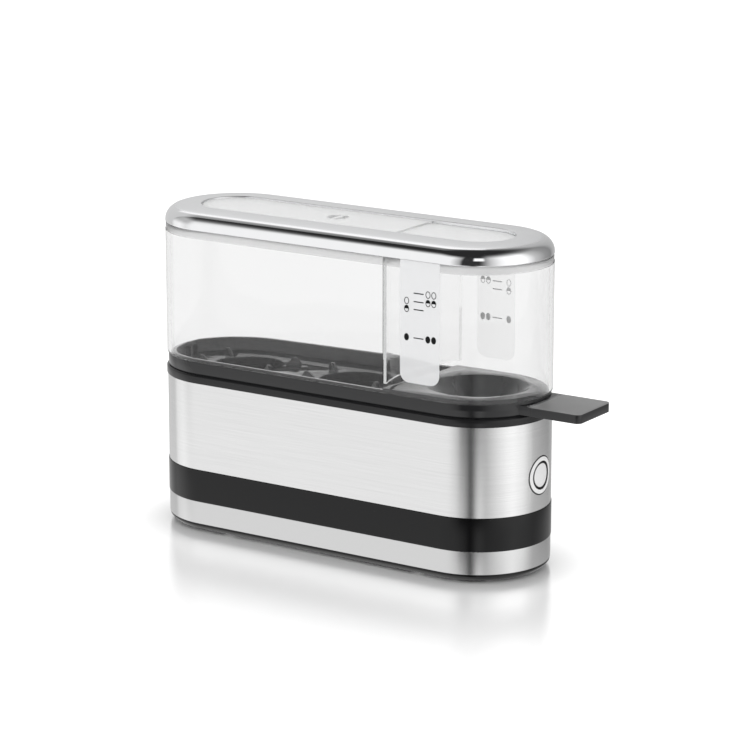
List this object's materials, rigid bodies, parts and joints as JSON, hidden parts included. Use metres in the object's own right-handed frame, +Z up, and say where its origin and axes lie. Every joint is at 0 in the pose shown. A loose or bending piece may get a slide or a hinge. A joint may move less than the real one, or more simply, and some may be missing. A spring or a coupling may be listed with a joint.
{
  "type": "electric egg cooker",
  "caption": "Slim steam egg cooker: heated base in brushed steel, lift-out egg tray with a flat handle, and a clear hood with a chrome ring and a built-in water measure.",
  "frame": {"origin": "on the surface that the feet stand on, under the middle of the overall box", "axes": "+X along the body towards the handle and the power button, +Y across the body towards its back, +Z up"},
  "size_m": [0.2162, 0.064, 0.1448],
  "materials": {
    "black_plastic": "moulded, satin",
    "tray_plastic": "moulded, half gloss",
    "rubber": "matt",
    "screw_steel": "zinc plated",
    "brushed_sleeve": "brushed along its length",
    "dish_coating": "dark non-stick coating",
    "silicone": "moulded silicone",
    "sheet_steel": "rolled sheet",
    "aluminium": "rolled plate",
    "heater_sheath": "heat tinted",
    "thermostat_body": "moulded phenolic",
    "fuse_body": "drawn can",
    "light_ring": "bright translucent",
    "button_metal": "fine brushed",
    "spring_steel": "drawn wire",
    "white_plastic": "moulded",
    "circuit_board": "solder mask",
    "brass": "turned",
    "clear_plastic": "clear, polished mould",
    "chrome": "polished"
  },
  "bodies": {
    "base": {"base_cover": "black_plastic", "black_band": "black_plastic", "inner_housing": "black_plastic", "rubber_feet": "rubber", "cover_screws": "screw_steel", "clamp_screws": "screw_steel", "thermostat_screws": "screw_steel", "bracket_screws": "screw_steel", "lower_steel_ring": "brushed_sleeve", "steel_sleeve": "brushed_sleeve", "heating_dish": "dish_coating", "dish_gasket": "silicone", "dish_clamps": "sheet_steel", "fuse_clip": "sheet_steel", "heat_spreader": "aluminium", "heating_tube": "heater_sheath", "thermostat": "thermostat_body", "thermal_fuse": "fuse_body", "button_ring": "light_ring", "switch_body": "black_plastic", "switch_bracket": "sheet_steel", "lamp_board": "circuit_board", "terminal_block": "white_plastic", "terminal_screws": "brass", "cord_gland": "rubber", "button_spring": "spring_steel"},
    "tray": {"egg_tray": "tray_plastic"},
    "hood": {"hood_shell": "clear_plastic", "chrome_ring": "chrome"},
    "button": {"power_button": "button_metal", "switch_plunger": "white_plastic"}
  },
  "joints": [
    {"name": "tray_lift", "type": "slide", "parent": "base", "child": "tray", "axis": [0, 0, 1], "range_m": [0, 0.03]},
    {"name": "hood_lift", "type": "slide", "parent": "tray", "child": "hood", "axis": [0, 0, 1], "range_m": [0, 0.09]},
    {"name": "button_press", "type": "slide", "parent": "base", "child": "button", "axis": [-1, 0, 0], "range_m": [0, 0.0012], "stiffness_N_per_m": 800, "springref_m": -0.001, "deforming": ["button_spring"]}
  ]
}
